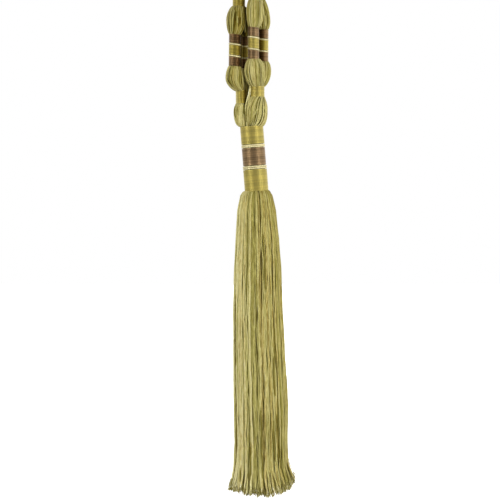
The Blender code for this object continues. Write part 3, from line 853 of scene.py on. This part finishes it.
def guide_mesh(name, *chains):
    """Chains of edges through their stations, whose points carry the bundle's section."""
    mesh = bpy.data.meshes.new(name)
    edges = []
    stations = []
    for chain in chains:
        edges += [(index, index + 1) for index in range(len(stations), len(stations) + len(chain) - 1)]
        stations += chain
    mesh.from_pydata([station.point * MM for station in stations], edges, [])
    for field in Station._fields[1:]:
        values = [getattr(station, field) for station in stations]
        if field == "across":
            attribute = mesh.attributes.new(field, "FLOAT_VECTOR", "POINT")
            attribute.data.foreach_set("vector", [part for value in values for part in value])
        else:
            scale = MM if field in ("wide", "front", "back") else 1.0
            attribute = mesh.attributes.new(field, "FLOAT", "POINT")
            attribute.data.foreach_set("value", [value * scale for value in values])
    return mesh


def shared(row, side):
    """A row of the oval that an arm's two skeins share, as one skein's half: the row, its front and back."""
    front = row.half_depth if side == "front" else 0.0
    y = row.y + (-HALF_SPLIT if side == "front" else HALF_SPLIT)
    return row._replace(y=y), front, row.half_depth - front


def rows_between(low, high):
    """The rows from one up to just under the next, with how tightly each is bound, from 0 to 1."""
    opens = low[0].rise > 0 and high[0].rise == 0
    closes = low[0].rise == 0 and high[0].rise > 0
    steps = BULGE_STEPS if opens or closes else 2
    for step in range(steps):
        share = eased = step / steps
        if opens:
            share = share**CROWDING
            eased = math.sin(share * math.pi / 2) ** low[0].rise
        elif closes:
            share = 1 - (1 - share) ** CROWDING
            eased = 1 - math.cos(share * math.pi / 2) ** high[0].rise
        bound = mix(float(low[0].rise > 0), float(high[0].rise > 0), eased)
        values = [mix(a, b, eased) for a, b in zip(low[0], high[0])]
        row = Row(*values)._replace(z=mix(low[0].z, high[0].z, share))
        yield row, mix(low[1], high[1], eased), mix(low[2], high[2], eased), bound


def arm_stations(arm, side):
    """The stations of one skein up one arm, from its end in the neck to the wrap over the hook."""
    turn = 0.0 if arm == "left" else math.pi
    rows = [shared(row, side) for row in ARM_LOW[arm]]
    rows += [(row, row.half_depth, row.half_depth) for row in STRAND[arm, side]]
    rows += [shared(row, side) for row in ARM_HIGH[arm]]
    foot = bight_station(turn / math.pi, side)
    _, _, half_width, half_depth = bight_sizes()
    last = Row(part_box("bight_wrap")[0].z / MM, foot.point.x, 0.0, half_width, half_depth, BIGHT_RISE)
    rows.append(shared(last, side))
    for index in range(1, len(rows) - 1):
        if rows[index][0].rise:
            way = (rows[index - 1][0].rise == 0) - (rows[index + 1][0].rise == 0)
            rows[index] = (rows[index][0]._replace(z=rows[index][0].z + EMERGE * way), *rows[index][1:])
    stations = []
    across = Vector((math.cos(turn), 0.0, 0.0))
    for low, high in zip(rows, rows[1:]):
        for row, front, back, bound in rows_between(low, high):
            fill = UNDER_WRAP * bound
            deep = [size + fill if size > fill else 0.0 for size in (front, back)]
            point = Vector((row.x, row.y, row.z))
            wide = row.half_width + fill
            stations.append(Station(point, across, wide, *deep, bound, 0.0, row.lay, row.dark))
    return stations


def bight_sizes():
    """The radius and the centre height of the half circle over the hook, and the yarn's half sizes in it."""
    _, high = (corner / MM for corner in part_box("bight_wrap"))
    half_width = high.z / 2
    radius = high.x - half_width
    return radius, half_width - radius, half_width - BIGHT_WALL, high.y - BIGHT_WALL


def bight_station(share, side):
    """A skein's station over the hook, from the left arm at 0 to the right arm at 1."""
    radius, centre, half_width, half_depth = bight_sizes()
    turn = share * math.pi
    x = -radius * math.cos(turn)
    z = centre + radius * math.sin(turn)
    row, front, back = shared(Row(z, x, 0.0, half_width, half_depth), side)
    across = Vector((math.cos(turn), 0.0, -math.sin(turn)))
    return Station(Vector((x, row.y, z)), across, half_width, front, back, 1.0)


def skein_stations(side):
    """A whole skein: out of the neck, up the left arm, over the hook and down the right arm."""
    over = [bight_station(step / BIGHT_STEPS, side) for step in range(BIGHT_STEPS + 1)]
    return arm_stations("left", side) + over + arm_stations("right", side)[::-1]


def skirt_stations(step_length=SKIRT_STEP):
    """The skirt's stations from its roots in the neck down to its hem."""
    rows = []
    for above, below in zip(SKIRT, SKIRT[1:]):
        steps = max(1, round((above[0] - below[0]) / step_length))
        rows += [[mix(a, b, step / steps) for a, b in zip(above, below)] for step in range(steps)]
    stations = []
    for z, x, wide in (*rows, SKIRT[-1]):
        spread = min(1.0, max(0.0, (wide - ROOT_HALF_WIDTH) / SPREAD_OVER))
        deep = wide * mix(1.0, SKIRT_DEPTH_SHARE, spread)
        lean = NECK_LEAN * (1 - spread)
        across = Vector((math.cos(lean), 0.0, math.sin(lean)))
        down = max(0.0, (SKIRT_HEAD - z) / (SKIRT_HEAD - SKIRT[-1][0]))
        stations.append(Station(Vector((x, 0.0, z)), across, wide, deep, deep, 1 - spread, down))
    return stations


def in_face(stations, way, dark):
    """The rows of a single yarn along its way in the front of a bundle with these stations, from its top."""
    rows = []
    pairs = list(zip(way[::2], way[1::2]))
    for index, (z, x) in enumerate(pairs):
        above, below = next((a, b) for a, b in zip(stations, stations[1:]) if a.point.z >= z >= b.point.z)
        share = (above.point.z - z) / (above.point.z - below.point.z)
        middle = mix(above.point, below.point, share)
        side = (x - middle.x) / mix(above.wide, below.wide, share)
        sunk = STREAK_DIVE if index in (0, len(pairs) - 1) else STREAK_SINK
        y = middle.y + sunk - mix(above.front, below.front, share) * math.sqrt(max(0.0, 1 - side**2))
        rows.append((z, x, y, STREAK_HALF, STREAK_HALF, 0.0, 0.0, dark))
    return rows


def loose_stations(rows):
    """The stations of a slack bunch or of a single yarn, in a smooth line through its rows."""
    stations = []
    across = Vector((1.0, 0.0, 0.0))
    for index in range(len(rows) - 1):
        around = [rows[min(max(index + step, 0), len(rows) - 1)] for step in (-1, 0, 1, 2)]
        for step in range(SLACK_STEPS):
            row = Row(*(curve_through(values, step / SLACK_STEPS) for values in zip(*around)))
            point = Vector((row.x, row.y, row.z))
            deep = row.half_depth
            stations.append(Station(point, across, row.half_width, deep, deep, 0.0, 0.0, row.lay, row.dark))
    return stations


def curve_through(values, share):
    """A value between the second and the third of four, on a smooth curve through them."""
    before, low, high, after = values
    slope_in, slope_out = (high - before) / 2, (after - low) / 2
    bend = 2 * (low - high) + slope_in + slope_out
    sway = high - low - slope_in - bend
    return ((bend * share + sway) * share + slope_in) * share + low


# How a piece's dark darkens its colour, the dark being painted shade and light and some tone: the power that
# it is raised to, and how much light it loses
DARK_POWER = 0.6
DARK_LOSS = 0.33

# The noises along the yarn's filaments: how long they are in millimetres and how fine round the yarn
YARN_NOISES = ((14.0, 1.6), (70.0, 0.5), (5.0, 0.8))
NOISE_STRENGTH = 0.75
FILAMENT_LANES = 70.0

# Where the yarn's colours lie from its darkest tone to its palest, and how much light the groove of its plies
# keeps: a painted shade in the groove
TONE_PLACES = (0.04, 0.24, 0.45, 0.68, 0.86, 1.0)
GROOVE_LIGHT = 0.93

# The thread's ply lay, its noise's length and fineness, and how far noise and tone together reach
THREAD_LAY = 1.8 * MM
THREAD_NOISE = (5.0, 1.6)
THREAD_REACH = (0.2, 1.8)

# How deep the bump of the yarn and of the thread is, and how strong
YARN_RELIEF = 0.1 * MM
THREAD_RELIEF = 0.05 * MM
BUMP = 0.3


def new_material(name, sockets):
    """A Principled material with these values on its shader. It returns the material and add for its tree."""
    made = bpy.data.materials.new(name)
    made.use_nodes = True
    for label, value in sockets.items():
        made.node_tree.nodes["Principled BSDF"].inputs[label].default_value = value
    return made, partial(add, made.node_tree)


def link_look(made, dyed, bump):
    """Gives the material's shader its colour and its bump."""
    shader = made.node_tree.nodes["Principled BSDF"]
    made.node_tree.links.new(dyed.outputs["Vector"], shader.inputs["Base Color"])
    made.node_tree.links.new(bump.outputs["Normal"], shader.inputs["Normal"])


def ply_wave(put, lay):
    """From 0 in the groove between two plies to 1 on their crowns, as they wind round the yarn."""
    along = put("carried", attribute_name="along").outputs["Fac"]
    around = put("carried", attribute_name="around").outputs["Vector"]
    phase = put("times", along, TURN * MM / lay)
    spoke = put("join", put("cosine", phase), put("sine", phase), 0.0)
    return put("power", put("dot", around, spoke).outputs["Value"], 2.0)


def filament_streaks(put, length, fineness):
    """Noise drawn out along the filaments, other on each yarn. Its length is in millimetres."""
    along = put("carried", attribute_name="along").outputs["Fac"]
    around = put("carried", attribute_name="around").outputs["Vector"]
    tone = put("carried", attribute_name="tone").outputs["Fac"]
    place = put("join", put("times", tone, FILAMENT_LANES), 0.0, put("times", along, 1 / length))
    spot = put("vector times plus", around, (fineness, fineness, 0.0), place)
    return put("noise", spot, 1.0, 3.0).outputs["Fac"]


def darkened_by_shade_and_tone(put, dye):
    """The colour darkened as the piece's dark attribute says, which holds painted shade and light and some
    tone: 0 leaves it as it is, and less makes it paler.
    """
    dark = put("carried", attribute_name="dark").outputs["Fac"]
    power = put("times plus", dark, DARK_POWER, 1.0)
    richer = put("vector power", dye, put("join", power, power, power))
    share = put("over", 1.0, put("times plus", dark, DARK_LOSS, 1.0))
    return put("scaled", richer, share)


def viscose_yarn():
    """Soft two-ply viscose yarn, hank dyed: bright long filaments, a low twist and each yarn its own tone."""
    yarn = bpy.context.scene.tieback_yarn
    pale = (*yarn.pale, 1.0)
    gloss = {"Roughness": 0.42, "Specular Tint": pale, "Metallic": 0.2, "Specular IOR Level": 0.2}
    sheen = {"Sheen Weight": 0.03, "Sheen Roughness": 0.4, "Sheen Tint": pale}
    made, put = new_material("Viscose yarn", gloss | sheen)
    tone = put("carried", attribute_name="tone").outputs["Fac"]
    streaks, dye, flecks = (filament_streaks(put, *scale) for scale in YARN_NOISES)
    centred = put("minus", put("plus", put("plus", streaks, dye), flecks), 1.5)
    ramp = put("ShaderNodeValToRGB", put("times plus", centred, NOISE_STRENGTH, tone))
    stops = ramp.color_ramp.elements
    colours = (yarn.olive, yarn.moss, yarn.straw, yarn.pale, yarn.tan, yarn.khaki)
    while len(stops) < len(colours):
        stops.new(0.5)
    for stop, place, dye in zip(stops, TONE_PLACES, colours):
        stop.position = place
        stop.color = (*dye, 1.0)
    crown = ply_wave(put, yarn.ply_lay)
    # Painted shade: the dark attribute darkens the colour, and the grooves between the plies are a little
    # darker
    shaded = put("scaled", darkened_by_shade_and_tone(put, ramp), put("map", crown, 0.0, 0.4, GROOVE_LIGHT, 1.0))
    height = put("times plus", crown, 0.4, streaks)
    link_look(made, shaded, put("ShaderNodeBump", BUMP, YARN_RELIEF, None, height))
    return made


def wound_thread(name, dye, streak, roughness, metallic):
    """Mercerised thread, wound tight: a silky light across the turns, each a little lighter or darker."""
    made, put = new_material(name, {"Roughness": roughness, "Metallic": metallic})
    tone = put("carried", attribute_name="tone").outputs["Fac"]
    mixed = put("plus", filament_streaks(put, *THREAD_NOISE), tone)
    value = put("map", mixed, *THREAD_REACH, 1.0 - streak, 1.0 + streak)
    # Painted shade: the winding's dark attribute darkens the colour
    shaded = put("scaled", darkened_by_shade_and_tone(put, tuple(dye)), value)
    link_look(made, shaded, put("ShaderNodeBump", BUMP, THREAD_RELIEF, None, ply_wave(put, THREAD_LAY)))
    return made


def line_values(layer, lie, seed, uneven_dye=2.4):
    """The inputs of a bundle's yarns and cut ends. The lie is the settings that say how they stray."""
    yarn = bpy.context.scene.tieback_yarn
    return {
        "Flat": yarn.flat,
        "Squeezed": yarn.squeezed,
        "Yarns": layer.yarns,
        "Reach": layer.reach,
        "Sink": layer.sink * MM,
        "Thickness": layer.thickness * MM,
        "Wander": lie.wander * layer.stray,
        "Wander length": lie.wave * layer.stray**0.5,
        "Locks": lie.locks,
        "Kinship": lie.kinship,
        "Uneven dye": uneven_dye,
        "Layer shade": layer.shade,
        "Sides": layer.sides,
        "Seed": yarn.seed + seed,
        "Material": bpy.data.materials.get("Viscose yarn") or viscose_yarn(),
    }


def lay_yarns(name, slot, chains, values, *nodes, tree="Yarn bundle"):
    """Makes a piece of yarns along their chains of stations and puts it on the tieback."""
    seat(grow(name, guide_mesh(name + "_guide", *chains), tree_named(tree), values), slot, *nodes)


class TIEBACK_OT_skeins(bpy.types.Operator):
    """Lay the two skeins' yarns in layers from the neck over the loop and back"""

    bl_idname = "tieback.skeins"
    bl_label = "Skein yarns"

    def execute(self, context):
        for place, side in enumerate(("front", "back")):
            for depth, layer in enumerate(SKEIN_LAYERS):
                values = line_values(layer, context.scene.tieback_yarn, SKEIN_SEEDS * place + depth)
                nodes = ["skein_" + side] if depth == 0 else []
                lay_yarns(f"yarn_{side}_{layer.name}", "skein_yarn", [skein_stations(side)], values, *nodes)
        return {"FINISHED"}


class TIEBACK_OT_slack(bpy.types.Operator):
    """Lead the slack yarns that missed binding A down between the two arms"""

    bl_idname = "tieback.slack"
    bl_label = "Slack yarns"

    def execute(self, context):
        for index, bunch in enumerate(SLACK):
            layer = SLACK_LAYER._replace(yarns=bunch.yarns, thickness=bunch.thickness)
            values = line_values(layer, context.scene.tieback_yarn, SLACK_SEED + index)
            lay_yarns("slack_" + bunch.name, "skein_yarn", [loose_stations(bunch.rows)], values)
        return {"FINISHED"}


class TIEBACK_OT_streaks(bpy.types.Operator):
    """Lay single yarns in the face of the skirt and of the skeins: dark ones as painted shade, and paler ones
    """

    bl_idname = "tieback.streaks"
    bl_label = "Single yarns"

    def execute(self, context):
        for index, streaks in enumerate(STREAKS):
            skirt = streaks.face == "skirt"
            stations = skirt_stations() if skirt else arm_stations(*streaks.face)[::-1]
            layer = SINGLE_LAYER._replace(thickness=streaks.thickness)
            values = line_values(layer, context.scene.tieback_yarn, STREAK_SEED + index, 0.0)
            chains = [loose_stations(in_face(stations, way, streaks.dark)) for way in streaks.ways]
            lay_yarns("streaks_" + streaks.name, "skirt_yarn" if skirt else "skein_yarn", chains, values)
        return {"FINISHED"}


class TIEBACK_OT_skirt(bpy.types.Operator):
    """Hang the skirt's yarns in layers under the neck and fray their cut ends"""

    bl_idname = "tieback.skirt"
    bl_label = "Skirt yarns"

    def execute(self, context):
        skirt = context.scene.tieback_skirt
        hang = {skirt.bl_rna.properties[key].name: getattr(skirt, key) for key in skirt.__annotations__}
        for depth, layer in enumerate(SKIRT_LAYERS):
            name = "skirt_" + layer.name
            values = hang | line_values(layer, skirt, SKIRT_SEED + depth)
            chains = [skirt_stations(HIDDEN_STEP if layer.name in HIDDEN else SKIRT_STEP)]
            lay_yarns(name, "skirt_yarn", chains, values, *(["skirt"] if depth == 0 else []))
            lay_yarns(name + "_frays", "skirt_yarn", chains, values, tree="Frayed ends")
        return {"FINISHED"}


def straight_wrap(node):
    """The foot, top and half sizes of a straight wrap, read from the two end rings of its solid."""
    points = [vert.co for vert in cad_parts[node].data.vertices]
    low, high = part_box(node)
    ends = []
    for upper in (False, True):
        ring = [point for point in points if (point.z > (low.z + high.z) / 2) == upper]
        corners = [Vector(map(pick, zip(*ring))) for pick in (min, max)]
        ends.append(((corners[0] + corners[1]) / 2, (corners[1] - corners[0]) / 2))
    (foot, half), (top, _) = ends
    lean = math.atan2(top.x - foot.x, top.z - foot.z)
    return foot, top, half.x / math.cos(lean), half.y


def wind(name, node, thread, seed, points, half_width, half_depth, lie):
    """Winds thread or cord round the line through the points, in place of its solid."""
    settings = bpy.context.scene.tieback_thread
    slot, finish, *look = THREADS[thread]
    guide = bpy.data.meshes.new(name + "_guide")
    guide.from_pydata(points, [(index, index + 1) for index in range(len(points) - 1)], [])
    length = sum((b - a).length for a, b in zip(points, points[1:]))
    cord = thread == "cream"
    # Cord takes only this share of its winding's painted shade
    dye = CORD_SHADE_SHARE if cord else 1.0
    thickness = settings.cord if cord else settings.thickness
    values = {
        "Half width": half_width,
        "Half depth": half_depth,
        "Thickness": thickness,
        "Turns": max(1, round(length / thickness * (1.0 if cord else THREAD_CLOSENESS))),
        "Start": WINDING_START,
        "Uneven": settings.uneven,
        "Plies": 3,
        "Seed": seed,
        "Slant": lie.slant,
        "Dark": lie.dark * dye,
        "Left shade": lie.left_shade * dye,
        "Material": bpy.data.materials.get(finish) or wound_thread(finish, getattr(settings, thread), *look),
    }
    values |= CORD_INPUTS if cord else THREAD_INPUTS
    seat(grow(name, guide, tree_named("Winding"), values), slot, node)


class TIEBACK_OT_windings(bpy.types.Operator):
    """Wind thread and cord round the neck, the bands and the bindings"""

    bl_idname = "tieback.windings"
    bl_label = "Wound thread and cord"

    def execute(self, context):
        nodes = [name for name in sorted(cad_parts) if name.startswith(("neck", "band", "binding"))]
        for seed, node in enumerate(nodes):
            thread = next((word for word in THREADS if word in node), "gold")
            foot, top, half_width, half_depth = straight_wrap(node)
            lie = next((LIES[key] for key in LIES if node.startswith(key)), Lie())
            wind("wound_" + node, node, thread, seed, [top, foot], half_width, half_depth, lie)
        return {"FINISHED"}


class TIEBACK_OT_bight(bpy.types.Operator):
    """Wind gold thread over the top of the loop, where it rests on its hook"""

    bl_idname = "tieback.bight"
    bl_label = "Wound top of the loop"

    def execute(self, context):
        low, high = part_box("bight_wrap")
        half_width = high.z / 2
        radius = high.x - half_width
        turns = [math.pi * step / (2 * BIGHT_STEPS) for step in range(2 * BIGHT_STEPS + 1)]
        points = [Vector((-radius, 0.0, low.z))]
        for turn in turns:
            z = half_width - radius + radius * math.sin(turn)
            points.append(Vector((-radius * math.cos(turn), 0.0, z)))
        points.append(Vector((radius, 0.0, low.z)))
        wind("wound_bight", "bight_wrap", "gold", BIGHT_SEED, points, half_width, high.y, Lie())
        return {"FINISHED"}


# The strips' size and how far away they stand, in metres
STRIP_SIZE = (0.5, 1.6)
STRIP_AWAY = 1.3

# The room is brightest towards here, behind the object and a little to the right
BRIGHT_WAY = (0.45, 0.89, 0.0)
FLOOR_REACH = 30.0
WHITE = (1.0, 1.0, 1.0, 1.0)


class TIEBACK_OT_studio(bpy.types.Operator):
    """Set the camera, two strip lights, a white room and a pale floor"""

    bl_idname = "tieback.studio"
    bl_label = "Studio"

    def execute(self, context):
        scene = context.scene
        studio = scene.tieback_studio
        self.add_camera(scene, studio)
        self.add_strips(scene, studio)
        self.add_room(scene, studio)
        self.add_floor(scene, studio)
        scene.view_settings.view_transform = "Standard"
        return {"FINISHED"}

    def add_camera(self, scene, studio):
        data = bpy.data.cameras.new("Camera")
        data.lens = studio.lens
        camera = bpy.data.objects.new("Camera", data)
        distance = PHOTO_WIDTH * MM * data.lens / data.sensor_width
        camera.location = (0.0, -distance, PHOTO_CENTRE * MM)
        camera.rotation_euler = (math.radians(90), 0.0, 0.0)
        scene.collection.objects.link(camera)
        scene.camera = camera

    def add_strips(self, scene, studio):
        strips = (("Strip left", -1, studio.left_power), ("Strip right", 1, studio.right_power))
        for name, side, power in strips:
            data = bpy.data.lights.new(name, "AREA")
            data.shape = "RECTANGLE"
            data.size, data.size_y = STRIP_SIZE
            data.energy = power
            strip = bpy.data.objects.new(name, data)
            away = Vector((side * math.sin(studio.strip_angle), -math.cos(studio.strip_angle), 0.0))
            strip.location = away * STRIP_AWAY + Vector((0.0, 0.0, PHOTO_CENTRE * MM))
            strip.rotation_euler = away.to_track_quat("Z", "Y").to_euler()
            strip.visible_camera = False
            scene.collection.objects.link(strip)

    def add_room(self, scene, studio):
        """White to the camera, softer as a light, so that the object keeps its contrast."""
        world = bpy.data.worlds.new("White room")
        world.use_nodes = True
        put = partial(add, world.node_tree)
        seen = put("ShaderNodeLightPath").outputs["Is Camera Ray"]
        way = put("ShaderNodeTexCoord").outputs["Generated"]
        lean = put("dot", way, BRIGHT_WAY).outputs["Value"]
        light = put("map", lean, -1.0, 1.0, studio.front_room, studio.back_room)
        strength = put("mix", seen, light, 1.0)
        background = world.node_tree.nodes["Background"]
        background.inputs["Color"].default_value = WHITE
        world.node_tree.links.new(strength.outputs["Result"], background.inputs["Strength"])
        scene.world = world

    def add_floor(self, scene, studio):
        """Even matt paint that glows a little, so that it shows as white as the room and takes no shadow."""
        paint = {"Base Color": (0.9, 0.9, 0.9, 1.0), "Roughness": 0.8, "Emission Color": WHITE}
        made, _ = new_material("Pale floor paint", paint | {"Emission Strength": 1.0})
        mesh = bpy.data.meshes.new("Floor")
        level = CAD_BOX[0].z - studio.floor_drop
        ways = ((-1, -1), (1, -1), (1, 1), (-1, 1))
        mesh.from_pydata([(x * FLOOR_REACH, y * FLOOR_REACH, level) for x, y in ways], [], [(0, 1, 2, 3)])
        mesh.materials.append(made)
        floor = bpy.data.objects.new("Floor", mesh)
        floor.visible_diffuse = False
        floor.visible_glossy = False
        scene.collection.objects.link(floor)


class TIEBACK_PT_panel(bpy.types.Panel):
    """The tieback's pieces and their settings"""

    bl_label = "Tassel tieback"
    bl_idname = "TIEBACK_PT_panel"
    bl_space_type = "VIEW_3D"
    bl_region_type = "UI"
    bl_category = "Tieback"

    def draw(self, context):
        for group, operators in PANEL_ROWS:
            box = self.layout.box()
            settings = getattr(context.scene, group)
            for name in settings.__annotations__:
                box.prop(settings, name)
            for operator in operators:
                box.operator(operator.bl_idname)


GROUPS = (
    ("tieback_studio", StudioSettings),
    ("tieback_yarn", YarnSettings),
    ("tieback_skirt", SkirtSettings),
    ("tieback_thread", ThreadSettings),
)
PANEL_ROWS = (
    ("tieback_studio", (TIEBACK_OT_studio,)),
    ("tieback_yarn", (TIEBACK_OT_skeins, TIEBACK_OT_slack)),
    ("tieback_skirt", (TIEBACK_OT_skirt, TIEBACK_OT_streaks)),
    ("tieback_thread", (TIEBACK_OT_windings, TIEBACK_OT_bight)),
)
OPERATORS = [operator for _, row in PANEL_ROWS for operator in row]
CLASSES = (*(group for _, group in GROUPS), *OPERATORS, TIEBACK_PT_panel)


def register():
    for made in CLASSES:
        bpy.utils.register_class(made)
    for name, group in GROUPS:
        setattr(bpy.types.Scene, name, PointerProperty(type=group))


def unregister():
    for name, _ in GROUPS:
        delattr(bpy.types.Scene, name)
    for made in reversed(CLASSES):
        bpy.utils.unregister_class(made)


def main():
    register()
    bpy.ops.tieback.studio()
    bpy.ops.tieback.skeins()
    bpy.ops.tieback.slack()
    bpy.ops.tieback.skirt()
    bpy.ops.tieback.streaks()
    bpy.ops.tieback.windings()
    bpy.ops.tieback.bight()


if __name__ == "__main__":
    main()
